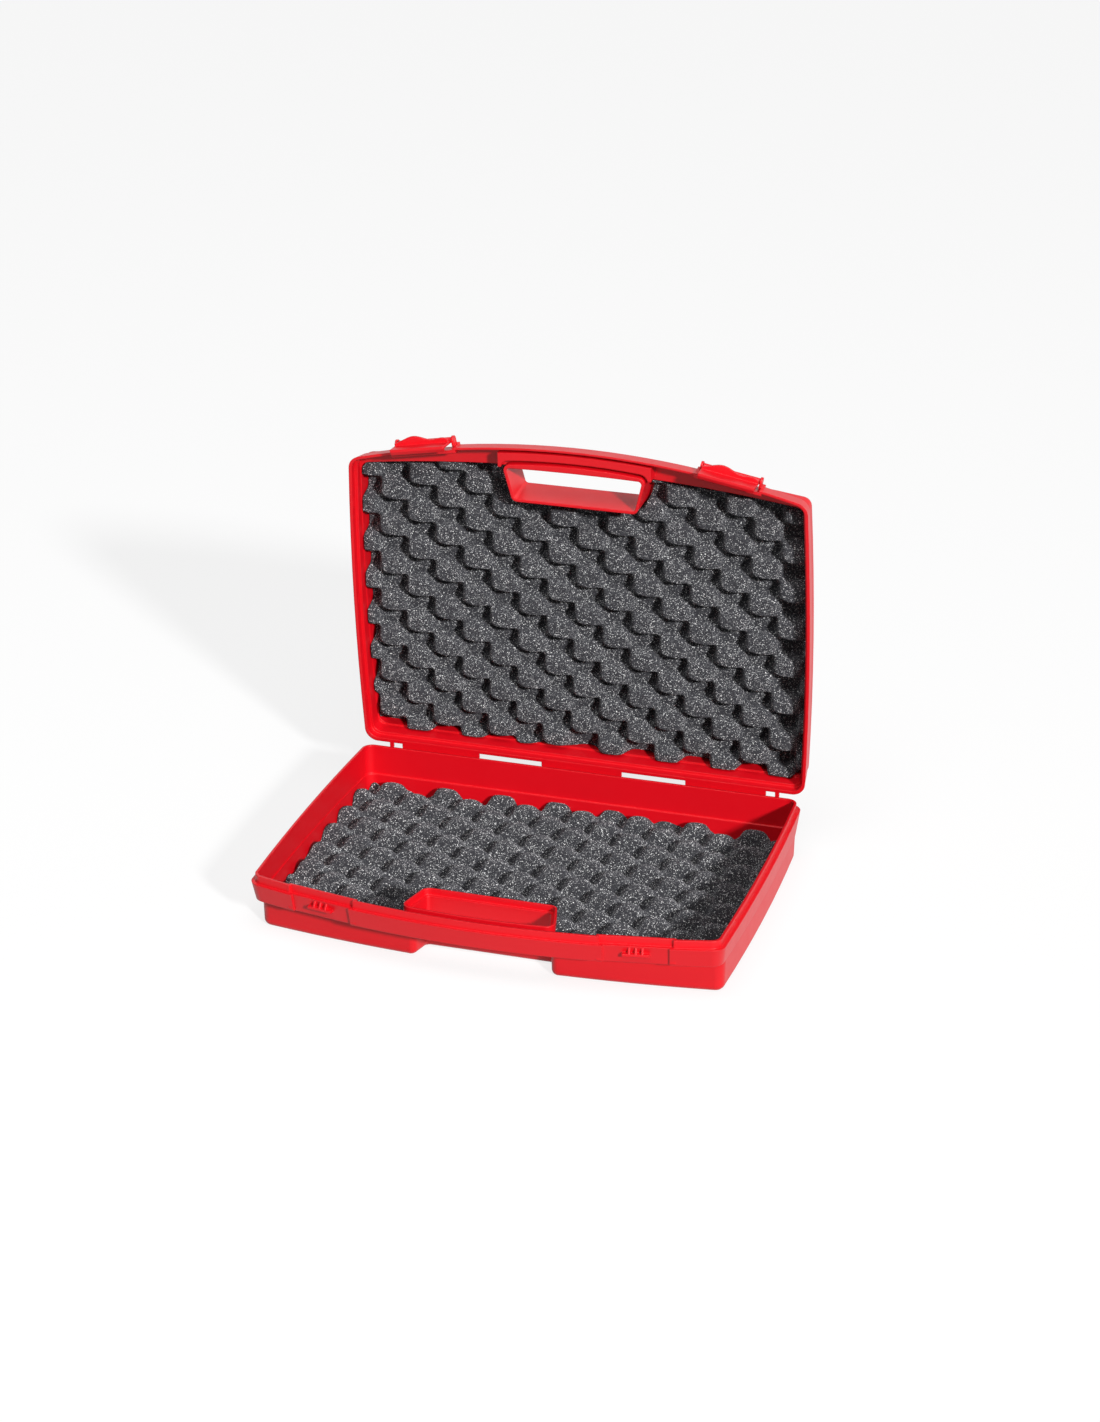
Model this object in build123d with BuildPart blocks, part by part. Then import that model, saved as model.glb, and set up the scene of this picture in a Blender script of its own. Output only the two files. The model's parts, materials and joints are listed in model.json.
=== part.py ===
"""Otoscope carry case: moulded base and lid on a film hinge, two latches, two foam pads.

Millimetres, +Z up, +X to the right, -Y to the front (the grip side). The origin is the centre
of the base's flat underside. The lid stands open on its hinge.
"""
from build123d import *
from math import asin, atan2, cos, degrees, hypot, radians, sqrt, tan
import os

os.makedirs("parts", exist_ok=True)

# ---------------------------------------------------------------- driving dimensions
# Outline at the rim, seen from above
case_width = 340.0
corner_depth = 234.0        # rear edge to the front corners, before the front bows out
front_bow = 23.25
side_bow = 2.7
rim_corner = 10.0

# Heights, measured away from the mating plane
base_depth = 40.0
lid_depth = 30.0
rim_gap = 0.3               # running gap between the closed rims
band_height_rear = 19.5
band_height_front = 13.4
band_draft_front = 12.0     # degrees
band_draft_side = 7.5
ledge_thickness = 2.0       # the step floor inside the band

# Walls and floors
wall = 2.2
floor_thickness = 2.2

# Body below the band: how far it stands inside the rim outline
body_inset_side = 2.6
body_inset_rear = 3.6
body_corner = 9.0
body_draft = 1.4            # degrees
base_inset_front = 13.7
base_front_bow = 13.5
lid_inset_front = 5.6
lid_front_bow = 12.3
floor_fillet = 4.5

# Sealing tongue on the base and its pocket in the lid
tongue_inset_front = 2.0
tongue_inset_side = 2.7
tongue_inset_rear = 3.0
tongue_wall = 1.8
tongue_height = 5.6
tongue_corner = 8.0
tongue_gap = 0.35
web_gap = 0.6               # tongue's top to the lid's web over it

# Hand hole: one opening through both halves, splayed towards the front. The end of the
# lid's tube stands on a ledge in the base's tube, inside its raised lip
grip_depth = 17.7           # front of the case to the hole
hole_depth = 23.7
hole_half = 44.7            # half its width at the rear
hole_splay = 13.9           # degrees
hole_wall = 2.1
hole_corner = 2.5           # inside, at the mating plane
hole_bow = 0.8
grip_bow = 3.2              # the grip's rear face bows out towards the front
nest_gap = 0.4
lip_wall = 1.4
lip_height = 4.5
lip_groove_gap = 0.7        # round the lip in the lid's grip
alcove_corner = 5.0
grip_recess = 1.0           # the grip web lies this far inside the lid's rim

# Latch zones in the front band
latch_x = 113.0
recess_half = 22.6
recess_depth = 2.0
jog_depth = 2.8             # how far the tongue is set back there
latch_half = 20.6
latch_wall = 2.0
pivot_up = 9.0              # pin above the lid's rim
pivot_out = 2.2
barrel_radius = 2.2
pin_radius = 1.5
pin_reach = 1.5             # pin beyond each end of the latch
pin_gap = 0.25
ear_gap = 0.3
ear_radius = 3.2
hook_height = 2.2
hook_depth = 2.4
hook_nose = 1.0             # blunt tip, before the lead-in slope
hook_gap = 0.35             # closed hook under the catch
thumb_drop = 8.4            # pin to the thumb lip
thumb_wall = 1.8
thumb_wave = ((-1, 1.8), (-0.72, 3.6), (-0.3, 6.1), (0.1, 4.2), (0.38, 2.7), (0.75, 3.6), (1, 2))
latch_open = 8.0            # degrees off the latched place, as the latch hangs

# Catches on the base band
catch_half = 9.3
catch_out = 0.3             # catch face in front of the band face
catch_gap = 0.5             # catch face to the closed latch plate
catch_top = 5.0
catch_ledge = 7.0           # underside, below the mating plane
ramp_start = 1.0
ramp_width = 1.4
ramp_pitch = 4.5

# Hinge: lugs on both rear edges, joined by thin films
hinge_out = 5.2             # bending axis behind the rear edge
lug_depth = 4.0
lug_root = 2.0
lug_thickness = 1.6
film_thickness = 0.4
film_centre_half = 31.0
film_inner = 80.0
film_outer = 141.0
strap_inner = 148.0
strap_outer = 151.0
open_angle = 84.57          # degrees from closed, as the lid stands

# Snap nubs inside the lid's rim, which click into dimples in the tongue
nub_insets = (38.0, 118.0, 197.0)   # from the rear edge
nub_up = 3.0
nub_radius = 1.1
nub_length = 6.0
nub_proud = 0.6
nub_gap = 0.35

# Foam pads
foam_gap = 0.4
foam_edge = 2.2             # chamfer that clears the fillet round the floor
foam_hole_gap = 2.0
base_foam_height = 18.5
lid_foam_height = 17.0
crate_length = 42.7         # egg-crate waves from crest to crest, across the case
crate_width = 30.7          # and from rear to front
crate_depth = 10.0          # crest to pit
crate_slope = 55.0          # degrees
crate_grooves = 18          # each way across a pad
base_crate_start = (-18.4, 6.3)     # one crest's centre
base_crate_turn = 4.0       # degrees
lid_crate_start = (6.4, 1.5)
lid_crate_turn = 2.4

# ---------------------------------------------------------------- places worked out
rear_edge = (corner_depth + front_bow) / 2
front_radius = (case_width ** 2 / 4 + front_bow ** 2) / (2 * front_bow)
latch_angle = degrees(asin(latch_x / front_radius))
latch_sag = front_radius - sqrt(front_radius ** 2 - latch_x ** 2)
latch_y = rear_edge - corner_depth - front_bow + latch_sag
step_slope = (band_height_rear - band_height_front) / (corner_depth + front_bow)
body_start = band_height_front / 2                      # hidden behind the band
ledge_rear = band_height_rear - ledge_thickness
ledge_front = band_height_front - ledge_thickness
pad_foot = ledge_front + ledge_thickness / 2            # sunk into the ledge
pad_half = recess_half + wall                           # backs a latch's recess in the lid
hole_front = rear_edge - corner_depth - front_bow + grip_depth
hole_rear = hole_front + hole_depth
lip_seat = hole_wall + nest_gap                         # inside of the lip, from the hole
lip_outside = lip_seat + lip_wall
web_height = tongue_height + web_gap
tongue_back = tongue_inset_front + jog_depth            # tongue's face behind a latch
plate_out = catch_out + catch_gap                       # closed latch plate, inner face
hook_top = pivot_up + rim_gap + catch_ledge + hook_gap  # pin to the hook's upper face
latch_reach = hook_top + hook_height
mouth_half = hole_half + hole_depth * tan(radians(hole_splay))
grip_half = mouth_half + lip_outside + wall
grip_front = rear_edge - corner_depth - front_bow
crate_angle = degrees(atan2(crate_width, crate_length))
crate_pitch = crate_length * crate_width / hypot(crate_length, crate_width)
groove_half = crate_depth / tan(radians(crate_slope))

hinge_y = rear_edge + hinge_out
hinge_z = base_depth + rim_gap / 2
base_rim = Plane.XY.offset(base_depth)
hinge_turn = (
    Location((0, hinge_y, hinge_z))
    * Location((0, 0, 0), (-open_angle, 0, 0))
    * Location((0, -hinge_y, -hinge_z))
)
lid_rim = Plane(hinge_turn * Location((0, 0, base_depth + rim_gap)))

# Each half is built away from its own rim: the base downwards, the lid upwards
DOWN = -1
UP = 1


# ---------------------------------------------------------------- outlines and planes
def outline(plane, rear_in, side_in, front_in, bow, corner):
    """Closed case outline: straight rear, bowed sides and front, rounded corners."""
    half = case_width / 2 - side_in
    rear = rear_edge - rear_in
    front = rear_edge - corner_depth + front_in
    middle = (rear + front) / 2
    with BuildSketch(plane) as shape:
        with BuildLine():
            Line((-half, rear), (half, rear))
            ThreePointArc((half, rear), (half + side_bow, middle), (half, front))
            ThreePointArc((half, front), (0, front - bow), (-half, front))
            ThreePointArc((-half, front), (-half - side_bow, middle), (-half, rear))
        make_face()
        fillet(shape.vertices(), corner)
    return shape.sketch


def tongue_outline(plane, inward):
    """Outline of the sealing tongue, moved inward from its outside face."""
    return outline(
        plane,
        tongue_inset_rear + inward,
        tongue_inset_side + inward,
        tongue_inset_front + inward,
        front_bow,
        tongue_corner - inward,
    )


def body_outline(plane, front_in, bow, inward):
    """Outline of the body below the band, moved inward from its outside face."""
    return outline(
        plane,
        body_inset_rear + inward,
        body_inset_side + inward,
        front_in + inward,
        bow,
        body_corner - wall,
    )


def hole_outline(plane, grow, bow, corner):
    """Hand-hole outline, grown outwards; a bow curves its front towards the grip."""
    rear = hole_rear + grow
    front = hole_front - grow
    ends = [
        hole_half + (hole_rear - y) * tan(radians(hole_splay)) + grow / cos(radians(hole_splay))
        for y in (rear, front)
    ]
    with BuildSketch(plane) as shape:
        with BuildLine():
            Polyline((-ends[1], front), (-ends[0], rear), (ends[0], rear), (ends[1], front))
            ThreePointArc((ends[1], front), (0, front - bow), (-ends[1], front))
        make_face()
        fillet(shape.vertices(), corner)
    return shape.sketch


def hole_form(rim, way, reach, depth, grow):
    """Drafted hand hole from beyond the rim, by its reach, to a depth, grown outwards."""
    with BuildPart() as tube:
        loft(
            [
                hole_outline(
                    rim.offset(way * level),
                    grow + level * tan(radians(body_draft)),
                    hole_bow,
                    hole_corner + grow,
                )
                for level in (-reach, depth)
            ],
            ruled=True,
        )
    return tube.part


def step_plane(rim, way, height_rear):
    """Plane of the step below the band, facing the rim; it rises from rear to front."""
    start = rim.from_local_coords((0, rear_edge, way * height_rear))
    normal = rim.from_local_coords((0, step_slope, -way)) - rim.origin
    return Plane(origin=start, x_dir=rim.x_dir, z_dir=normal)


def latch_frame(rim, side):
    """Plane on the band face at a latch: X along the band, Y into the case."""
    place = Location((side * latch_x, latch_y, 0), (0, 0, side * latch_angle))
    return Plane(rim.location * place)


def latch_section(rim, side):
    """Plane across a latch: X out of the band, Y away from the base."""
    frame = latch_frame(rim, side)
    return Plane(origin=frame.origin, x_dir=-frame.y_dir, z_dir=-frame.x_dir)


def pin_section(side):
    """Plane across a latch at its pin, turned with the latch."""
    section = latch_section(lid_rim, side)
    return Plane(section.location * Location((pivot_out, pivot_up, 0), (0, 0, latch_open)))


# ---------------------------------------------------------------- forms shared by the halves
def body_lean(depth):
    """How much further in the body's walls stand at its floor, from their draft."""
    return (depth - body_start) * tan(radians(body_draft))


def body_form(rim, way, depth, front_in, bow, inward, alcove):
    """Body below the band, or with inward the room inside it; it widens from its floor."""
    floor = rim.offset(way * depth)
    with BuildPart() as body:
        extrude(
            body_outline(floor, front_in, bow, inward + body_lean(depth)),
            amount=-way * (depth - body_start),
            taper=-body_draft,
        )
        if alcove:
            add(hole_form(rim, way, 0, depth, inward), mode=Mode.SUBTRACT)
            upright = body.edges().filter_by(lambda edge: abs(edge.tangent_at(0.5).Z) > 0.9)
            fillet(upright.sort_by(Axis.Y)[:2], alcove_corner - inward)
        bottom = body.faces().sort_by(Axis(rim.origin, rim.z_dir * way))[-1]
        if inward:
            chamfer(bottom.edges(), floor_fillet - inward)
        else:
            fillet(bottom.edges(), floor_fillet)
    return body.part


def envelope(rim, way, depth, front_in, bow, alcove):
    """Outside form of one half: drafted band with a stepped-in body."""
    lean_front = band_height_rear * tan(radians(band_draft_front))
    lean_side = band_height_rear * tan(radians(band_draft_side))
    low = rim.offset(way * band_height_rear)
    with BuildPart() as solid:
        loft(
            [
                outline(rim, 0, 0, 0, front_bow, rim_corner),
                outline(low, lean_side, lean_side, lean_front, front_bow, rim_corner),
            ],
            ruled=True,
        )
        split(bisect_by=step_plane(rim, way, band_height_rear), keep=Keep.TOP)
        add(body_form(rim, way, depth, front_in, bow, 0, alcove))
    return solid.part


def room(rim, way, depth, front_in, bow, reach, alcove):
    """Room inside one half: straight from beyond the rim to the ledge, then tapered."""
    mouth = tongue_outline(rim.offset(-way * reach), tongue_wall)
    with BuildPart() as space:
        extrude(mouth, amount=way * (band_height_rear + reach))
        split(bisect_by=step_plane(rim, way, ledge_rear), keep=Keep.TOP)
        add(body_form(rim, way, depth - floor_thickness, front_in, bow, wall, alcove))
    return space.part


def along_band(section, out_from, out_to, up_from, up_to, half, draft=0.0):
    """Straight block along the band at a latch; a draft leans its inner face inward."""
    lean = tan(radians(draft))
    with BuildPart() as block:
        with BuildSketch(section):
            with BuildLine():
                Polyline(
                    (out_from - abs(up_from) * lean, up_from),
                    (out_to, up_from),
                    (out_to, up_to),
                    (out_from - abs(up_to) * lean, up_to),
                    close=True,
                )
            make_face()
        extrude(amount=half, both=True)
    return block.part


def hinge_spans():
    """X ranges of the films and straps, by name."""
    return {
        "hinge_strap_left": (-strap_outer, -strap_inner),
        "hinge_film_left": (-film_outer, -film_inner),
        "hinge_film_centre": (-film_centre_half, film_centre_half),
        "hinge_film_right": (film_inner, film_outer),
        "hinge_strap_right": (strap_inner, strap_outer),
    }


def hinge_lugs(rim, way):
    """Lugs behind the rear edge at each film and strap."""
    with BuildPart() as lugs:
        with BuildSketch(rim):
            for start, end in hinge_spans().values():
                with Locations(((start + end) / 2, rear_edge + (lug_depth - lug_root) / 2)):
                    Rectangle(end - start, lug_depth + lug_root)
        extrude(amount=way * lug_thickness)
    return lugs.part


def side_x(inset):
    """Half width of the rim outline at a distance from the rear edge."""
    half_run = corner_depth / 2
    radius = (half_run ** 2 + side_bow ** 2) / (2 * side_bow)
    return case_width / 2 + side_bow - radius + sqrt(radius ** 2 - (inset - half_run) ** 2)


def nubs(grow):
    """Ramped snap nubs along both sides of the lid's pocket, or with grow their dimples."""
    pocket = tongue_inset_side - tongue_gap
    with BuildPart() as row:
        for inset in nub_insets:
            x = side_x(inset) - pocket + nub_radius - nub_proud
            with BuildSketch(Plane.XZ.offset(inset - rear_edge)):
                with Locations((-x, nub_up), (x, nub_up)):
                    RegularPolygon(nub_radius + grow, 6)
            extrude(amount=nub_length / 2 + grow, both=True)
    return row.part


# ---------------------------------------------------------------- base shell
tongue_top = base_rim.offset(tongue_height)
with BuildPart() as base_hollow:
    add(room(base_rim, DOWN, base_depth, base_inset_front, base_front_bow, tongue_height, True))
    add(hole_form(base_rim, DOWN, 0, base_depth, hole_wall), mode=Mode.SUBTRACT)
    extrude(
        hole_outline(
            base_rim.offset(-ledge_thickness), lip_outside, grip_bow, hole_corner + lip_outside
        ),
        amount=ledge_thickness + tongue_height,
        mode=Mode.SUBTRACT,
    )

with BuildPart() as base_shell:
    add(envelope(base_rim, DOWN, base_depth, base_inset_front, base_front_bow, True))
    extrude(tongue_outline(base_rim, 0), amount=tongue_height)
    add(base_hollow.part, mode=Mode.SUBTRACT)
    # Hand hole, with a raised lip round the ledge at its top
    add(hole_form(base_rim, DOWN, tongue_height, base_depth + wall, 0), mode=Mode.SUBTRACT)
    extrude(
        hole_outline(base_rim, lip_seat, grip_bow, hole_corner + lip_seat),
        amount=tongue_height,
        mode=Mode.SUBTRACT,
    )
    extrude(
        hole_outline(tongue_top, lip_outside, grip_bow, hole_corner + lip_outside),
        amount=lip_height - tongue_height,
        mode=Mode.SUBTRACT,
    )
    for side in (-1, 1):
        section = latch_section(base_rim, side)
        # The front wall jogs inward behind each latch
        inner = -tongue_back - tongue_wall
        middle = -tongue_inset_front - tongue_wall / 2
        jog_half = pad_half + tongue_gap
        add(along_band(section, inner, middle, -pad_foot, tongue_height, jog_half + tongue_wall))
        add(
            along_band(section, -tongue_back, wall, 0, 2 * tongue_height, jog_half),
            mode=Mode.SUBTRACT,
        )
        add(
            along_band(
                section, -recess_depth, wall, 0, -band_height_rear, recess_half, band_draft_front
            ),
            mode=Mode.SUBTRACT,
        )
        # Catch with three ramps that lift the hook over it
        root = -recess_depth - wall
        add(along_band(section, root, catch_out, -catch_ledge, -catch_top, catch_half))
        for step in (-1, 0, 1):
            with BuildSketch(section.offset(step * ramp_pitch)):
                with BuildLine():
                    Polyline(
                        (root, -ramp_start),
                        (-recess_depth, -ramp_start),
                        (catch_out, -catch_top),
                        (root, -catch_top),
                        close=True,
                    )
                make_face()
            extrude(amount=ramp_width / 2, both=True)
    add(hinge_lugs(base_rim, DOWN))
    add(nubs(nub_gap).moved(Location((0, 0, base_depth + rim_gap))), mode=Mode.SUBTRACT)
base_shell.part.label = "base_shell"
export_step(base_shell.part, "parts/base_shell.step")

# ---------------------------------------------------------------- lid shell
lid_end = lid_rim.offset(lid_depth)
lid_mouth = lid_rim.offset(-rim_gap)
groove_out = lip_outside + lip_groove_gap
with BuildPart() as tongue_pocket:
    extrude(tongue_outline(lid_mouth, -tongue_gap), amount=rim_gap + web_height)

with BuildPart() as tongue_slot:
    add(tongue_pocket.part)
    extrude(
        tongue_outline(lid_mouth, tongue_wall + tongue_gap),
        amount=rim_gap + web_height,
        mode=Mode.SUBTRACT,
    )

# The grip is filled round the tongue's slot and the groove for the base's lip
with BuildPart() as grip_web:
    with BuildSketch(lid_rim.offset(grip_recess)):
        with Locations((0, (hole_front + grip_front) / 2)):
            Rectangle(2 * grip_half, hole_front - grip_front)
    extrude(amount=lid_depth)
    add(tongue_slot.part, mode=Mode.SUBTRACT)
    extrude(
        hole_outline(lid_mouth, groove_out, grip_bow, hole_corner + groove_out),
        amount=rim_gap + lip_height + lip_groove_gap,
        mode=Mode.SUBTRACT,
    )
    extrude(
        hole_outline(lid_mouth, hole_wall, grip_bow, hole_corner + hole_wall),
        amount=rim_gap + web_height,
    )

with BuildPart() as lid_hollow:
    add(room(lid_rim, UP, lid_depth, lid_inset_front, lid_front_bow, rim_gap, False))
    add(tongue_pocket.part)
    add(hole_form(lid_rim, UP, rim_gap, lid_depth, hole_wall), mode=Mode.SUBTRACT)
    add(grip_web.part, mode=Mode.SUBTRACT)

# Below the band the hand hole is open to the front, so that fingers close round the grip
with BuildPart() as finger_mouth:
    with BuildSketch(lid_end):
        with Locations((0, grip_front)):
            Rectangle(2 * mouth_half, 2 * (hole_front - grip_front + hole_corner))
    extrude(amount=-lid_depth)
    split(bisect_by=step_plane(lid_rim, UP, band_height_rear), keep=Keep.BOTTOM)

with BuildPart() as lid_shell:
    add(envelope(lid_rim, UP, lid_depth, lid_inset_front, lid_front_bow, False))
    add(lid_hollow.part, mode=Mode.SUBTRACT)
    add(hole_form(lid_rim, UP, rim_gap, lid_depth + wall, 0), mode=Mode.SUBTRACT)
    add(finger_mouth.part, mode=Mode.SUBTRACT)
    for side in (-1, 1):
        section = latch_section(lid_rim, side)
        # The front wall jogs inward behind each latch, clear of the tongue
        pocket = tongue_gap - tongue_back
        add(along_band(section, pocket, -tongue_inset_front / 2, 0, pad_foot, pad_half))
        add(along_band(section, pocket - tongue_wall, pocket, web_height, pad_foot, pad_half))
        add(
            along_band(
                section, -recess_depth, wall, 0, band_height_rear, recess_half, band_draft_front
            ),
            mode=Mode.SUBTRACT,
        )
        # Ears that hold the latch's pin
        ear_in = latch_half + ear_gap
        for end in (-1, 1):
            ear_plane = section.offset(end * (ear_in + recess_half) / 2)
            with BuildSketch(ear_plane):
                with Locations((pivot_out, pivot_up)):
                    Circle(ear_radius)
                with Locations(((pivot_out - recess_depth - wall) / 2, pivot_up)):
                    Rectangle(pivot_out + recess_depth + wall, 2 * ear_radius)
            extrude(amount=(recess_half - ear_in) / 2, both=True)
        with BuildSketch(section):
            with Locations((pivot_out, pivot_up)):
                Circle(pin_radius + pin_gap)
        extrude(amount=latch_half + pin_reach + pin_gap, both=True, mode=Mode.SUBTRACT)
    add(hinge_lugs(lid_rim, UP))
    add(nubs(0).moved(lid_rim.location))
lid_shell.part.label = "lid_shell"
export_step(lid_shell.part, "parts/lid_shell.step")


# ---------------------------------------------------------------- latches
def latch(side):
    """Latch lever: plate with hook and thumb lip, on a barrel with its own pin ends."""
    across = pin_section(side)
    inner = plate_out - pivot_out
    outer = inner + latch_wall
    with BuildPart() as lever:
        with BuildSketch(across):
            Circle(barrel_radius)
            with BuildLine():
                Polyline(
                    (outer, 0),
                    (inner, 0),
                    (inner, -hook_top),
                    (inner - hook_depth, -hook_top),
                    (inner - hook_depth, -hook_top - hook_nose),
                    (inner, -latch_reach),
                    (outer, -latch_reach),
                    close=True,
                )
            make_face()
        extrude(amount=latch_half, both=True)
        with BuildSketch(across):
            Circle(pin_radius)
        extrude(amount=latch_half + pin_reach, both=True)
        # Thumb lip with a waved free edge
        lip_origin = across.from_local_coords((0, -thumb_drop, 0))
        lip_plane = Plane(origin=lip_origin, x_dir=-across.z_dir, z_dir=across.y_dir)
        with BuildSketch(lip_plane):
            with BuildLine():
                edge = Spline([(along * latch_half, -outer - out) for along, out in thumb_wave])
                Polyline(edge @ 0, (-latch_half, -outer), (latch_half, -outer), edge @ 1)
            make_face()
        extrude(amount=thumb_wall)
    return lever.part


for side, name in ((-1, "left_latch"), (1, "right_latch")):
    lever = latch(side)
    lever.label = name
    export_step(lever, f"parts/{name}.step")


# ---------------------------------------------------------------- hinge films
def film(start, end):
    """Thin film from the base's lugs round to the lid's, bent as the lid stands open."""
    bend = 180 - open_angle
    flank = hinge_z - base_depth + film_thickness / 2
    reach = hinge_out - lug_depth + flank / tan(radians(open_angle / 2))
    radius = reach * tan(radians(open_angle / 2))
    centre = (hinge_y - hinge_out + lug_depth, hinge_z - flank + radius)
    with BuildPart() as strip:
        with BuildSketch(Plane.YZ.offset(start)):
            with BuildLine():
                back = CenterArc(centre, radius + film_thickness / 2, -90, bend)
                face = CenterArc(centre, radius - film_thickness / 2, -90, bend)
                Line(back @ 0, face @ 0)
                Line(back @ 1, face @ 1)
            make_face()
        extrude(amount=end - start)
    return strip.part


for name, (start, end) in hinge_spans().items():
    strip = film(start, end)
    strip.label = name
    export_step(strip, f"parts/{name}.step")


# ---------------------------------------------------------------- foam pads
def foam(rim, way, depth, front_in, bow, height, crate_start, crate_turn):
    """Egg-crate foam pad on the floor of one half, cut round the hand-hole tube."""
    floor = rim.offset(way * (depth - floor_thickness - foam_gap))
    inward = wall + foam_gap + body_lean(depth)
    around = hole_wall + foam_hole_gap
    with BuildPart() as pad:
        extrude(body_outline(floor, front_in, bow, inward), amount=-way * height)
        bottom = pad.faces().sort_by(Axis(rim.origin, rim.z_dir * way))[-1]
        chamfer(bottom.edges(), foam_edge)
        add(hole_form(rim, way, 0, depth, around), mode=Mode.SUBTRACT)
        # Slanting grooves both ways leave the crests of the egg-crate
        for lean in (-crate_angle, crate_angle):
            start = Location((*crate_start, 0), (0, 0, crate_turn + lean))
            along = Plane(floor.offset(-way * height).location * start)
            with BuildSketch(Plane(origin=along.origin, x_dir=along.y_dir, z_dir=along.x_dir)):
                with GridLocations(crate_pitch, 0, crate_grooves, 1):
                    Polygon((-groove_half, 0), (groove_half, 0), (0, way * crate_depth), align=None)
            extrude(amount=case_width, both=True, mode=Mode.SUBTRACT)
    return pad.part


base_foam = foam(
    base_rim,
    DOWN,
    base_depth,
    base_inset_front,
    base_front_bow,
    base_foam_height,
    base_crate_start,
    base_crate_turn,
)
base_foam.label = "base_foam"
export_step(base_foam, "parts/base_foam.step")

lid_foam = foam(
    lid_rim,
    UP,
    lid_depth,
    lid_inset_front,
    lid_front_bow,
    lid_foam_height,
    lid_crate_start,
    lid_crate_turn,
)
lid_foam.label = "lid_foam"
export_step(lid_foam, "parts/lid_foam.step")
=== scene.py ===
"""Otoscope carry case, standing open: moulded finishes, film hinge, foam pads and studio."""
import json
from math import cos, pi, radians, tanh
from typing import NamedTuple

import bmesh
import bpy
from bpy.props import FloatProperty, FloatVectorProperty, PointerProperty
from bpy.types import Operator, Panel, PropertyGroup
from mathutils import Matrix, Vector, noise
from mathutils.bvhtree import BVHTree


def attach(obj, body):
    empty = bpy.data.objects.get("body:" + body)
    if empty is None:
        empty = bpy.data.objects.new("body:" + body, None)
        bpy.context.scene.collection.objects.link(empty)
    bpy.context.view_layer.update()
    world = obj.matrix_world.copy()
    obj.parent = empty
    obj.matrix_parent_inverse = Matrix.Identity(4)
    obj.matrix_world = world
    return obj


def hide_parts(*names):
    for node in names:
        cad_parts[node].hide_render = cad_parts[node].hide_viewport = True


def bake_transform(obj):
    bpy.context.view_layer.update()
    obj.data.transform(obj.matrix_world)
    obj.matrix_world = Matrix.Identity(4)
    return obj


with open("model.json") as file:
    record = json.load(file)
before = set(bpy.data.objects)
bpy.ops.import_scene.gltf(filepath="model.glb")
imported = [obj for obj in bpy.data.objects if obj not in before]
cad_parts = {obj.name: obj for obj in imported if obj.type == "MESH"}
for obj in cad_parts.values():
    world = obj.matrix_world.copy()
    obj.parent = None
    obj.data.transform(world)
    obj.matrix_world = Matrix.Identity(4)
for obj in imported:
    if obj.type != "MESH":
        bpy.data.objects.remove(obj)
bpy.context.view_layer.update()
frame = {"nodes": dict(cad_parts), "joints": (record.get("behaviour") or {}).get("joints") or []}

bl_info = {
    "name": "Otoscope Carry Case",
    "version": (1, 0, 0),
    "blender": (4, 5, 0),
    "location": "3D View > Sidebar > Carry Case",
    "description": "Finishes, foam pads and studio for an instrument carry case",
    "category": "Object",
}

SHELLS = ("base_shell", "lid_shell")
LATCHES = ("left_latch", "right_latch")
FILMS = tuple(name for name in sorted(frame["nodes"]) if name.startswith("hinge_"))

MM = 0.001
MERGE_DISTANCE = 0.002 * MM
FOAM_SIDE = 5 * MM          # a level above the floor where a pad's sides are plain
CREST_CLEARANCE = 0.1 * MM
BLOCK_MARGIN = 2 * MM       # how far the block of waves reaches past the pad it is cut from
UPRIGHT_LIMIT = 0.5         # a face whose normal rises less than this counts as a side
WAVE_SEED = 3               # of the foam's unevenness
FOAM_CREASE = radians(75)   # edges sharper than this stay crisp
FILM_CREASE = radians(40)

MIX_FACTOR, MIX_LOW, MIX_HIGH, MIX_RESULT = 0, 6, 7, 2   # a Mix node's colour sockets
FRAME_HEIGHT = 36.0         # mm
PAPER = (0.95, 0.95, 0.95)
WHITE = (1.0, 1.0, 1.0)


# ---------------------------------------------------------------- shader nodes
class Value:
    """A node socket that takes part in Python expressions."""

    def __init__(self, nodes, socket):
        self.nodes = nodes
        self.socket = socket

    def math(self, operation, *values):
        return self.nodes.node(
            "ShaderNodeMath", {"operation": operation}, dict(enumerate(values))
        )

    def __add__(self, other):
        return self.math("ADD", self, other)

    def __radd__(self, other):
        return self.math("ADD", other, self)

    def __sub__(self, other):
        return self.math("SUBTRACT", self, other)

    def __rsub__(self, other):
        return self.math("SUBTRACT", other, self)

    def __mul__(self, other):
        return self.math("MULTIPLY", self, other)

    def __rmul__(self, other):
        return self.math("MULTIPLY", other, self)

    def __pow__(self, other):
        return self.math("POWER", self, other)

    def __rpow__(self, other):
        return self.math("POWER", other, self)


class Nodes:
    """A node tree, whose nodes all come from one method."""

    def __init__(self, tree):
        self.tree = tree

    def node(self, kind, settings, sockets, output=0):
        """Add a node from its type, settings and socket values or links; gives one output."""
        new = self.tree.nodes.new(kind)
        for setting, choice in settings.items():
            setattr(new, setting, choice)
        for key, value in sockets.items():
            self.feed(new.inputs[key], value)
        return Value(self, new.outputs[output])

    def feed(self, socket, value):
        """Link a socket to a value that varies, or set it to one that doesn't."""
        if isinstance(value, Value):
            self.tree.links.new(value.socket, socket)
        else:
            socket.default_value = value

    def ray(self, kind):
        """1 for rays of one kind, and 0 for the rest."""
        return self.node("ShaderNodeLightPath", {}, {}, output=f"Is {kind} Ray")

    def seen(self):
        """1 where the surface is looked at, and 0 where it only gives light."""
        return self.ray("Camera") + self.ray("Glossy") + self.ray("Transmission")


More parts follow.
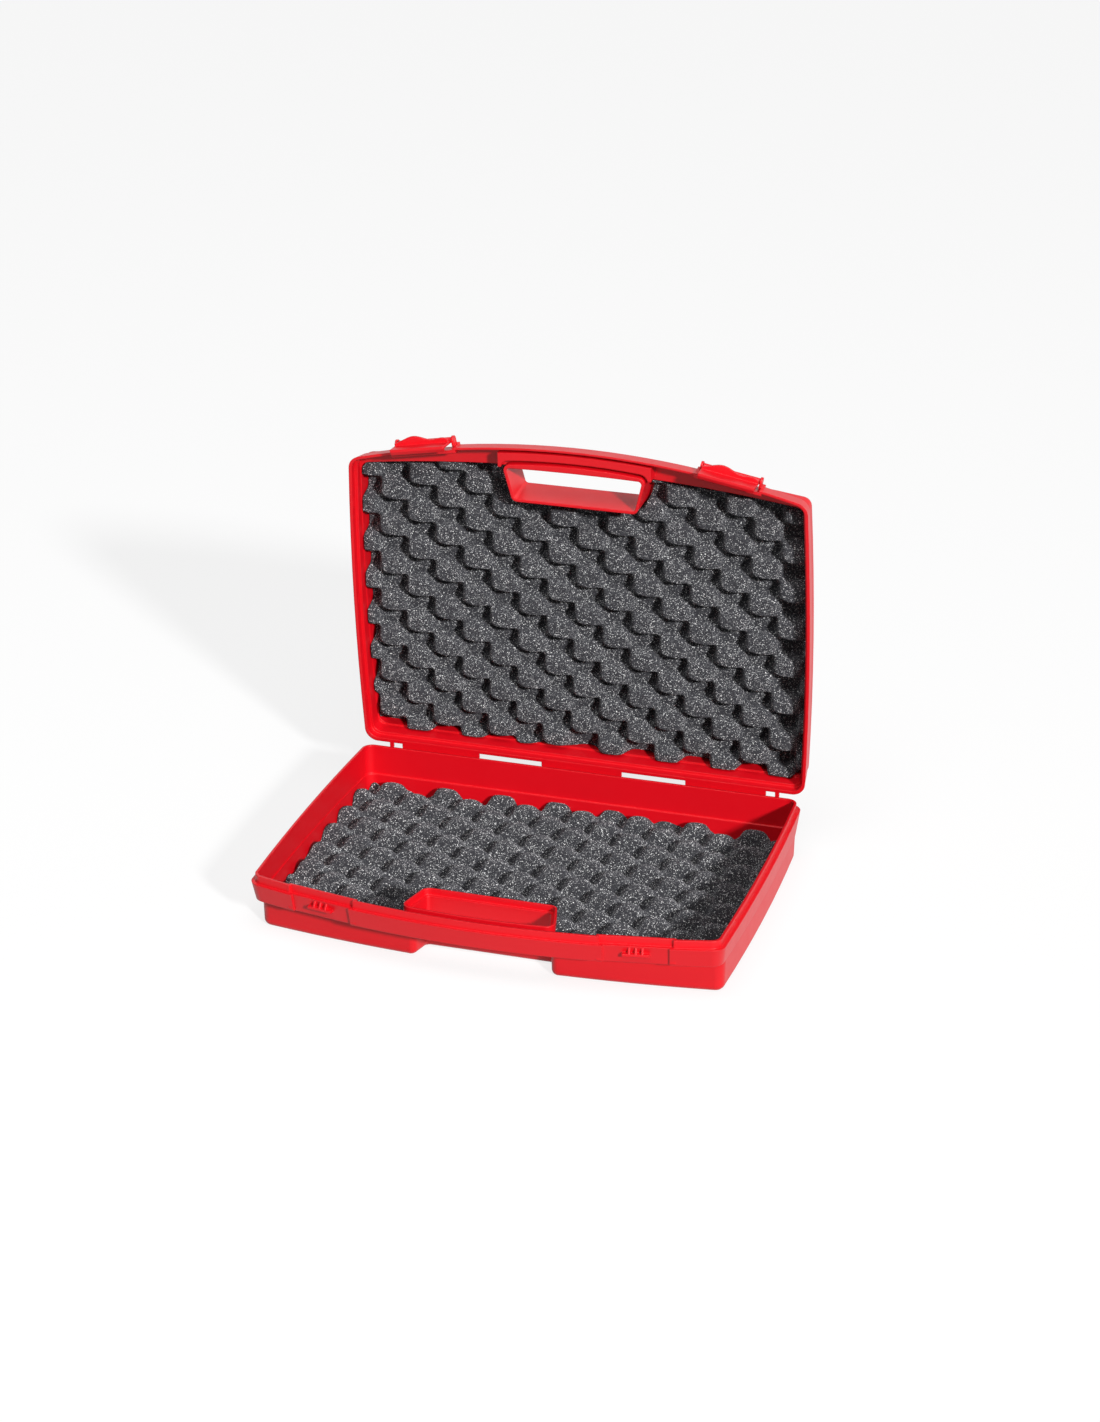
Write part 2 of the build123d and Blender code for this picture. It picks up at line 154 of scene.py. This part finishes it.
class Finish(Nodes):
    """A material: a Principled shader and the nodes that vary it over the surface."""

    def __init__(self, name, constants):
        self.material = bpy.data.materials.new(name)
        self.material.use_nodes = True
        super().__init__(self.material.node_tree)
        self.shader = self.tree.nodes["Principled BSDF"]
        for socket, constant in constants.items():
            self.set(socket, constant)

    def set(self, socket, value):
        """Set or vary a socket of the Principled shader."""
        self.feed(self.shader.inputs[socket], value)

    def place(self):
        """Object coordinates."""
        return self.node("ShaderNodeTexCoord", {}, {}, output="Object")

    def clouds(self, size, detail, roughness=0.5):
        """Noise around 0.5, with patches of about the given size in metres."""
        sockets = {
            "Vector": self.place(),
            "Scale": 1 / size,
            "Detail": detail,
            "Roughness": roughness,
        }
        return self.node("ShaderNodeTexNoise", {}, sockets)

    def cells(self, size, output):
        """Cells of about the given size in metres: their random colour or their hollows."""
        sockets = {"Vector": self.place(), "Scale": 1 / size}
        return self.node("ShaderNodeTexVoronoi", {"feature": "F1"}, sockets, output=output)

    def between(self, low, high, factor):
        """A colour between two colours."""
        low, high = (c if isinstance(c, Value) else (*c, 1.0) for c in (low, high))
        sockets = {MIX_FACTOR: factor, MIX_LOW: low, MIX_HIGH: high}
        return self.node("ShaderNodeMix", {"data_type": "RGBA"}, sockets, output=MIX_RESULT)

    def relief(self, height, depth, **others):
        """Surface relief from a height between 0 and 1."""
        return self.node("ShaderNodeBump", {}, {"Height": height, "Distance": depth, **others})


# ---------------------------------------------------------------- finishes
def moulded_plastic(name, plastic, grain=1.0):
    """Satin moulded polypropylene: an even colour, faint flow marks and a fine sparked grain."""
    finish = Finish(name, {"Specular IOR Level": plastic.gloss})
    deeper = [channel * plastic.flow_depth for channel in plastic.colour]
    flow = finish.clouds(plastic.flow_size, detail=3.0)
    finish.set("Base Color", finish.between(deeper, plastic.colour, flow))
    scuffs = finish.clouds(plastic.scuff_size, detail=6.0, roughness=0.7)
    finish.set("Roughness", plastic.roughness + (scuffs - 0.5) * plastic.roughness_range)
    edges = finish.node("ShaderNodeBevel", {"samples": 6}, {"Radius": plastic.edge_radius})
    sparks = finish.clouds(plastic.grain_size, detail=1.0)
    finish.set(
        "Normal",
        finish.relief(
            sparks, plastic.grain_depth * grain, Strength=plastic.grain_strength, Normal=edges
        ),
    )
    return finish.material


def open_cell_foam(name, foam):
    """Dark open-cell foam: fine cells, some of which catch the light as pale specks."""
    finish = Finish(
        name, {"Roughness": 0.95, "Diffuse Roughness": 1.0, "Specular IOR Level": 0.1}
    )
    shade = finish.node("ShaderNodeSeparateColor", {}, {0: finish.cells(foam.cell_size, "Color")})
    glint = finish.node("ShaderNodeClamp", {}, {"Value": shade ** foam.speck_rarity})
    grey = finish.between(foam.dark, foam.mid, finish.clouds(foam.patch_size, detail=2.0))
    finish.set("Base Color", finish.between(grey, foam.speck, glint))
    pits = finish.cells(foam.pit_size, "Distance")
    finish.set("Normal", finish.relief(pits, foam.pit_depth))
    return finish.material


def dress(piece, material):
    """Give a piece one material."""
    piece.data.materials.clear()
    piece.data.materials.append(material)


# ---------------------------------------------------------------- meshes
def add_object(name, data):
    """A new object in the scene, at the origin."""
    new = bpy.data.objects.new(name, data)
    bpy.context.scene.collection.objects.link(new)
    return new


def merged_copy(node, name):
    """A copy of a CAD node's mesh with its triangles joined into one skin."""
    mesh = frame["nodes"][node].data.copy()
    mesh.name = name
    form = bmesh.new()
    form.from_mesh(mesh)
    bmesh.ops.remove_doubles(form, verts=form.verts, dist=MERGE_DISTANCE)
    form.to_mesh(mesh)
    form.free()
    return mesh


def smooth_below(mesh, angle):
    """Smooth shading, with edges sharper than the angle kept crisp."""
    mesh.shade_smooth()
    mesh.set_sharp_from_angle(angle=angle)


def corners_of(parts):
    """The vertices among what a bmesh operator made."""
    return [part for part in parts if isinstance(part, bmesh.types.BMVert)]


def lid_standing():
    """Turns the closed lid's place into the place where it stands."""
    hinge = next(joint for joint in frame["joints"] if joint["name"] == "lid_hinge")
    pivot = Matrix.Translation(hinge["pos_m"])
    opening = Matrix.Rotation(radians(-hinge["range_deg"][0]), 4, Vector(hinge["axis"]))
    return pivot @ opening @ pivot.inverted()


# ---------------------------------------------------------------- foam pads
class Pad(NamedTuple):
    """One foam pad, laid flat: a crest's place, the rows' turn and how square the waves are."""

    node: str
    body: str
    start: Vector
    turn: float
    steepness: float
    upright: Matrix     # from flat, with the case closed, to where the pad stands
    way: int            # 1 where the crests point up, -1 where they point down


def pad_outline(pad):
    """A plain slab with the outline of a CAD pad, as high as its crests, laid flat."""
    slab = merged_copy(pad.node, pad.node + "_outline")
    slab.transform(pad.upright.inverted())
    heights = [vert.co.z * pad.way for vert in slab.vertices]
    side = pad.way * (min(heights) + FOAM_SIDE)
    crest = pad.way * (max(heights) - CREST_CLEARANCE)
    form = bmesh.new()
    form.from_mesh(slab)
    bmesh.ops.bisect_plane(
        form,
        geom=form.verts[:] + form.edges[:] + form.faces[:],
        plane_co=(0, 0, side),
        plane_no=(0, 0, pad.way),
        clear_outer=True,
    )
    rim = [edge for edge in form.edges if edge.is_boundary]
    walls = bmesh.ops.extrude_edge_only(form, edges=rim)["geom"]
    bmesh.ops.translate(form, vec=(0, 0, crest - side), verts=corners_of(walls))
    bmesh.ops.holes_fill(form, edges=[edge for edge in form.edges if edge.is_boundary])
    bmesh.ops.recalc_face_normals(form, faces=form.faces)
    form.to_mesh(slab)
    form.free()
    return slab


def wave_block(name, pad, slab, foam):
    """A block with egg-crate waves, larger than the slab, that roll off along its edges."""
    low = Vector(min(vert.co[axis] for vert in slab.vertices) for axis in range(3))
    high = Vector(max(vert.co[axis] for vert in slab.vertices) for axis in range(3))
    crest, floor = (high.z, low.z) if pad.way > 0 else (low.z, high.z)
    size = high - low + Vector((2, 2, 0)) * BLOCK_MARGIN

    sides = [face.vertices for face in slab.polygons if abs(face.normal.z) < UPRIGHT_LIMIT]
    wall = BVHTree.FromPolygons([vert.co for vert in slab.vertices], sides)
    middle = (low.z + high.z) / 2

    form = bmesh.new()
    bmesh.ops.create_grid(
        form,
        x_segments=int(size.x / foam.mesh_step),
        y_segments=int(size.y / foam.mesh_step),
        size=0.5,
        matrix=Matrix.Translation((low + high) / 2) @ Matrix.Diagonal((size.x, size.y, 1, 1)),
    )
    noise.seed_set(WAVE_SEED)
    rows = Matrix.Rotation(radians(-pad.turn), 2)
    for vert in form.verts:
        drift = noise.noise_vector(vert.co * foam.uneven_scale) * foam.unevenness
        x, y = rows @ (vert.co.xy - Vector(pad.start) + drift.xy)
        wave = cos(2 * pi * x / foam.pitch_x) * cos(2 * pi * y / foam.pitch_y)
        hollow = 0.5 - 0.5 * tanh(pad.steepness * wave) / tanh(pad.steepness)
        inside = wall.find_nearest((vert.co.x, vert.co.y, middle))[3]
        roll = max(0, 1 - inside / foam.edge_width) ** 2 * foam.edge_drop
        vert.co.z = crest - pad.way * (foam.wave_depth * hollow + abs(drift.z) + roll)
    walls = bmesh.ops.extrude_face_region(form, geom=form.faces[:])["geom"]
    for vert in corners_of(walls):
        vert.co.z = floor - pad.way * BLOCK_MARGIN
    bmesh.ops.recalc_face_normals(form, faces=form.faces)
    # the cut reorders corners, which bends four-sided faces another way but not triangles
    bmesh.ops.triangulate(form, faces=form.faces[:], quad_method="SHORT_EDGE")
    block = bpy.data.meshes.new(name)
    form.to_mesh(block)
    form.free()
    return block


def egg_crate(name, pad, foam):
    """Foam pad with egg-crate waves, with the outline of its CAD pad."""
    slab = pad_outline(pad)
    piece = add_object(name, wave_block(name, pad, slab, foam))
    knife = add_object(name + "_knife", slab)
    cut = piece.modifiers.new("cut", "BOOLEAN")
    cut.operation = "INTERSECT"
    cut.solver = "EXACT"
    cut.object = knife
    shaped = bpy.data.meshes.new_from_object(
        piece.evaluated_get(bpy.context.evaluated_depsgraph_get())
    )
    piece.modifiers.clear()
    piece.data = shaped
    shaped.name = name
    bpy.data.objects.remove(knife)
    shaped.transform(pad.upright)
    smooth_below(shaped, FOAM_CREASE)
    return piece


# ---------------------------------------------------------------- studio
def aimed(way):
    """The turn that points a lamp or the camera along a direction."""
    return Vector(way).to_track_quat("-Z", "Y").to_euler()


def pale_floor(stage):
    """A pale floor that shows white, keeps the case's shadow and throws little light back."""
    form = bmesh.new()
    bmesh.ops.create_grid(form, x_segments=1, y_segments=1, size=stage.floor_size / 2)
    mesh = bpy.data.meshes.new("floor")
    form.to_mesh(mesh)
    form.free()
    paint = Finish("floor_white", {"Roughness": 0.9, "Specular IOR Level": 0.0})
    seen = paint.seen()
    paint.set("Base Color", paint.between(stage.floor_colour, PAPER, seen))
    glow = paint.node("ShaderNodeEmission", {}, {"Color": (*WHITE, 1.0), "Strength": 1.0})
    matt = Value(paint, paint.shader.outputs[0])
    surface = paint.node("ShaderNodeMixShader", {}, {0: seen * stage.glow, 1: matt, 2: glow})
    paint.feed(paint.tree.nodes["Material Output"].inputs["Surface"], surface)
    floor = add_object("floor", mesh)
    dress(floor, paint.material)
    return floor


def white_backdrop(stage):
    """A world that shows white and gives a little light."""
    world = bpy.data.worlds.new("studio")
    world.use_nodes = True
    nodes = Nodes(world.node_tree)
    backdrop = nodes.tree.nodes["Background"]
    nodes.feed(backdrop.inputs["Color"], (*WHITE, 1.0))
    nodes.feed(backdrop.inputs["Strength"], stage.sky + nodes.seen() * (1 - stage.sky))
    return world


def key_light(stage):
    """A sun-like light from the right and front."""
    sun = bpy.data.lights.new("key", "SUN")
    sun.energy = stage.key
    sun.angle = radians(stage.key_spread)
    add_object("key", sun).rotation_euler = aimed(stage.key_way)


def overhead_light(stage):
    """A square soft light above the case."""
    lamp = bpy.data.lights.new("overhead", "AREA")
    lamp.size = stage.overhead_size
    lamp.energy = stage.overhead
    stand = add_object("overhead", lamp)
    stand.location = stage.overhead_place
    stand.rotation_euler = aimed(Vector(stage.overhead_aim) - stand.location)


def studio_camera(stage):
    """The camera, with its focal length set on the frame's height."""
    camera = add_object("camera", bpy.data.cameras.new("camera"))
    camera.data.sensor_fit = "VERTICAL"
    camera.data.sensor_height = FRAME_HEIGHT
    camera.data.lens = stage.lens
    camera.location = stage.camera_place
    camera.rotation_euler = aimed(Vector(stage.camera_aim) - camera.location)
    return camera


# ---------------------------------------------------------------- settings
class PlasticSettings(PropertyGroup):
    """Moulded polypropylene."""

    colour: FloatVectorProperty(
        name="Colour", description="Moulded red", subtype="COLOR", default=(0.65, 0.0015, 0.008)
    )
    gloss: FloatProperty(
        name="Gloss", description="Specular level", subtype="FACTOR", default=0.4
    )
    roughness: FloatProperty(
        name="Roughness", description="Mean roughness", subtype="FACTOR", default=0.42
    )
    roughness_range: FloatProperty(
        name="Roughness range", description="How uneven it is", subtype="FACTOR", default=0.12
    )
    flow_size: FloatProperty(
        name="Flow mark size",
        description="Width of faint colour patches",
        default=0.06,
        unit="LENGTH",
    )
    flow_depth: FloatProperty(
        name="Flow mark depth",
        description="Darkest patch, as a share of the colour",
        subtype="FACTOR",
        default=0.9,
    )
    scuff_size: FloatProperty(
        name="Scuff size",
        description="Width of dull and shiny patches",
        default=0.012,
        unit="LENGTH",
    )
    grain_size: FloatProperty(
        name="Grain size",
        description="Width of the sparked grain",
        default=0.0006,
        unit="LENGTH",
    )
    grain_depth: FloatProperty(
        name="Grain depth",
        description="Height of the sparked grain",
        default=0.00002,
        unit="LENGTH",
    )
    grain_strength: FloatProperty(
        name="Grain strength",
        description="How much the grain shows",
        subtype="FACTOR",
        default=0.6,
    )
    latch_grain: FloatProperty(
        name="Latch grain",
        description="Grain of the latches, as a share",
        subtype="FACTOR",
        default=0.7,
    )
    film_grain: FloatProperty(
        name="Film grain",
        description="Grain of the hinge films, as a share",
        subtype="FACTOR",
        default=0.5,
    )
    edge_radius: FloatProperty(
        name="Edge radius",
        description="Rounding of the moulded edges",
        default=0.0009,
        unit="LENGTH",
    )


class FoamSettings(PropertyGroup):
    """Egg-crate foam."""

    pitch_x: FloatProperty(
        name="Pitch across", description="Crest to crest", default=0.043, unit="LENGTH"
    )
    pitch_y: FloatProperty(
        name="Pitch along", description="Crest to crest", default=0.0307, unit="LENGTH"
    )
    wave_depth: FloatProperty(
        name="Wave depth", description="Crest to hollow", default=0.013, unit="LENGTH"
    )
    uneven_scale: FloatProperty(
        name="Unevenness scale", description="Random waves per metre", default=30.0
    )
    unevenness: FloatProperty(
        name="Unevenness", description="Size of random waves", default=0.001, unit="LENGTH"
    )
    edge_width: FloatProperty(
        name="Edge width",
        description="Band along the cut edge that rolls off",
        default=0.006,
        unit="LENGTH",
    )
    edge_drop: FloatProperty(
        name="Edge drop",
        description="How far the cut edge rolls off",
        default=0.0015,
        unit="LENGTH",
    )
    mesh_step: FloatProperty(
        name="Mesh step", description="Grid spacing", default=0.0011, unit="LENGTH"
    )
    base_start: FloatVectorProperty(
        name="Base start",
        description="A crest of the base pad",
        size=2,
        default=(-0.0282, 0.0138),
        unit="LENGTH",
    )
    base_turn: FloatProperty(
        name="Base turn", description="Degrees off the case's edges", default=4.0
    )
    base_steepness: FloatProperty(
        name="Base steepness", description="Higher gives flatter crests", default=2.2
    )
    lid_start: FloatVectorProperty(
        name="Lid start",
        description="A crest of the lid pad",
        size=2,
        default=(0.0038, 0.0081),
        unit="LENGTH",
    )
    lid_turn: FloatProperty(
        name="Lid turn", description="Degrees off the case's edges", default=3.3
    )
    lid_steepness: FloatProperty(
        name="Lid steepness", description="Higher gives flatter crests", default=4.0
    )
    dark: FloatVectorProperty(
        name="Dark grey",
        description="Darker patches",
        subtype="COLOR",
        default=(0.021, 0.021, 0.025),
    )
    mid: FloatVectorProperty(
        name="Mid grey",
        description="Paler patches",
        subtype="COLOR",
        default=(0.06, 0.06, 0.067),
    )
    patch_size: FloatProperty(
        name="Patch size",
        description="Width of a darker or paler patch",
        default=0.00135,
        unit="LENGTH",
    )
    speck: FloatVectorProperty(
        name="Speck colour", description="Cells that glint", subtype="COLOR", default=WHITE
    )
    speck_rarity: FloatProperty(
        name="Speck rarity", description="Higher means fewer", default=19.0
    )
    cell_size: FloatProperty(
        name="Cell size", description="Width of a speck", default=0.00045, unit="LENGTH"
    )
    pit_size: FloatProperty(
        name="Pit size", description="Width of an open cell", default=0.0012, unit="LENGTH"
    )
    pit_depth: FloatProperty(
        name="Pit depth", description="Depth of a cell", default=0.0003, unit="LENGTH"
    )


class StageSettings(PropertyGroup):
    """Floor, lights and camera."""

    floor_colour: FloatVectorProperty(
        name="Floor colour",
        description="How the floor colours the light it throws back",
        subtype="COLOR",
        default=(0.4, 0.4, 0.4),
    )
    floor_size: FloatProperty(
        name="Floor size", description="Side of the floor", default=12.0, unit="LENGTH"
    )
    glow: FloatProperty(
        name="Floor glow",
        description="Share of plain white in the floor as seen",
        subtype="FACTOR",
        default=0.8,
    )
    sky: FloatProperty(
        name="Sky light", description="Strength of the world's light", default=0.07
    )
    key: FloatProperty(
        name="Key light", description="Strength of the light from the right", default=4.0
    )
    key_spread: FloatProperty(
        name="Key spread", description="Width of the key light in degrees", default=5.0
    )
    key_way: FloatVectorProperty(
        name="Key direction",
        description="Where the key light shines",
        subtype="XYZ",
        default=(-1.0, 1.0, -0.62),
    )
    overhead: FloatProperty(
        name="Overhead light",
        description="Power of the soft light from above",
        default=34.0,
        unit="POWER",
    )
    overhead_size: FloatProperty(
        name="Overhead size", description="Side of the soft light", default=1.6, unit="LENGTH"
    )
    overhead_place: FloatVectorProperty(
        name="Overhead place",
        description="Where the soft light hangs",
        subtype="XYZ",
        default=(0.2, -0.9, 2.2),
        unit="LENGTH",
    )
    overhead_aim: FloatVectorProperty(
        name="Overhead aim",
        description="What the soft light points at",
        subtype="XYZ",
        default=(0.0, 0.0, 0.12),
        unit="LENGTH",
    )
    camera_place: FloatVectorProperty(
        name="Camera place",
        description="Where it stands",
        subtype="XYZ",
        default=(0.62889, -1.99034, 1.08257),
        unit="LENGTH",
    )
    camera_aim: FloatVectorProperty(
        name="Camera aim",
        description="What it looks at",
        subtype="XYZ",
        default=(0.01412, 0.00863, 0.14637),
        unit="LENGTH",
    )
    lens: FloatProperty(
        name="Lens", description="Focal length in mm", default=83.2, unit="CAMERA"
    )


class CaseSettings(PropertyGroup):
    """All that a user would change."""

    plastic: PointerProperty(type=PlasticSettings)
    foam: PointerProperty(type=FoamSettings)
    stage: PointerProperty(type=StageSettings)


# ---------------------------------------------------------------- operators
class CASE_OT_shells(Operator):
    """Finish the moulded base and lid"""

    bl_idname = "case.shells"
    bl_label = "Shells"

    def execute(self, context):
        plastic = context.scene.carry_case.plastic
        material = moulded_plastic("moulded_red", plastic)
        for name in SHELLS:
            dress(frame["nodes"][name], material)
        return {"FINISHED"}


class CASE_OT_latches(Operator):
    """Finish the two latch levers"""

    bl_idname = "case.latches"
    bl_label = "Latches"

    def execute(self, context):
        plastic = context.scene.carry_case.plastic
        material = moulded_plastic("latch_red", plastic, plastic.latch_grain)
        for name in LATCHES:
            dress(frame["nodes"][name], material)
        return {"FINISHED"}


class CASE_OT_hinge(Operator):
    """Copy the thin hinge films between base and lid, smooth-shaded and finished"""

    bl_idname = "case.hinge"
    bl_label = "Film hinge"

    def execute(self, context):
        plastic = context.scene.carry_case.plastic
        material = moulded_plastic("film_red", plastic, plastic.film_grain)
        for name in FILMS:
            film = add_object(name.replace("hinge_", "bent_"), merged_copy(name, name + "_skin"))
            smooth_below(film.data, FILM_CREASE)
            dress(film, material)
            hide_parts(name)
            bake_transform(film)
        return {"FINISHED"}


class CASE_OT_foams(Operator):
    """Model the egg-crate foam pads in base and lid"""

    bl_idname = "case.foams"
    bl_label = "Foam pads"

    def execute(self, context):
        foam = context.scene.carry_case.foam
        material = open_cell_foam("open_cell_grey", foam)
        base = (foam.base_start, foam.base_turn, foam.base_steepness, Matrix.Identity(4), 1)
        lid = (foam.lid_start, foam.lid_turn, foam.lid_steepness, lid_standing(), -1)
        for pad in (Pad("base_foam", "base", *base), Pad("lid_foam", "lid", *lid)):
            piece = egg_crate(pad.body + "_egg_crate", pad, foam)
            dress(piece, material)
            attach(piece, pad.body)
            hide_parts(pad.node)
        return {"FINISHED"}


class CASE_OT_stage(Operator):
    """Set the pale floor, the soft lights and the camera"""

    bl_idname = "case.stage"
    bl_label = "Studio"

    def execute(self, context):
        stage = context.scene.carry_case.stage
        pale_floor(stage)
        context.scene.world = white_backdrop(stage)
        key_light(stage)
        overhead_light(stage)
        context.scene.camera = studio_camera(stage)
        context.scene.view_settings.view_transform = "Standard"
        return {"FINISHED"}


class CASE_PT_panel(Panel):
    """Lists the case's settings and pieces"""

    bl_label = "Carry Case"
    bl_idname = "CASE_PT_panel"
    bl_space_type = "VIEW_3D"
    bl_region_type = "UI"
    bl_category = "Carry Case"

    def draw(self, context):
        settings = context.scene.carry_case
        for group in (settings.plastic, settings.foam, settings.stage):
            box = self.layout.box()
            for name in group.__annotations__:
                box.prop(group, name)
        for operator in OPERATORS:
            self.layout.operator(operator.bl_idname)


GROUPS = (PlasticSettings, FoamSettings, StageSettings, CaseSettings)
OPERATORS = (CASE_OT_shells, CASE_OT_latches, CASE_OT_hinge, CASE_OT_foams, CASE_OT_stage)
CLASSES = (*GROUPS, *OPERATORS, CASE_PT_panel)


def register():
    for cls in CLASSES:
        bpy.utils.register_class(cls)
    bpy.types.Scene.carry_case = PointerProperty(type=CaseSettings)


def unregister():
    del bpy.types.Scene.carry_case
    for cls in reversed(CLASSES):
        bpy.utils.unregister_class(cls)


def main():
    """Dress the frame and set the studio."""
    register()
    bpy.ops.case.shells()
    bpy.ops.case.latches()
    bpy.ops.case.hinge()
    bpy.ops.case.foams()
    bpy.ops.case.stage()


if __name__ == "__main__":
    main()
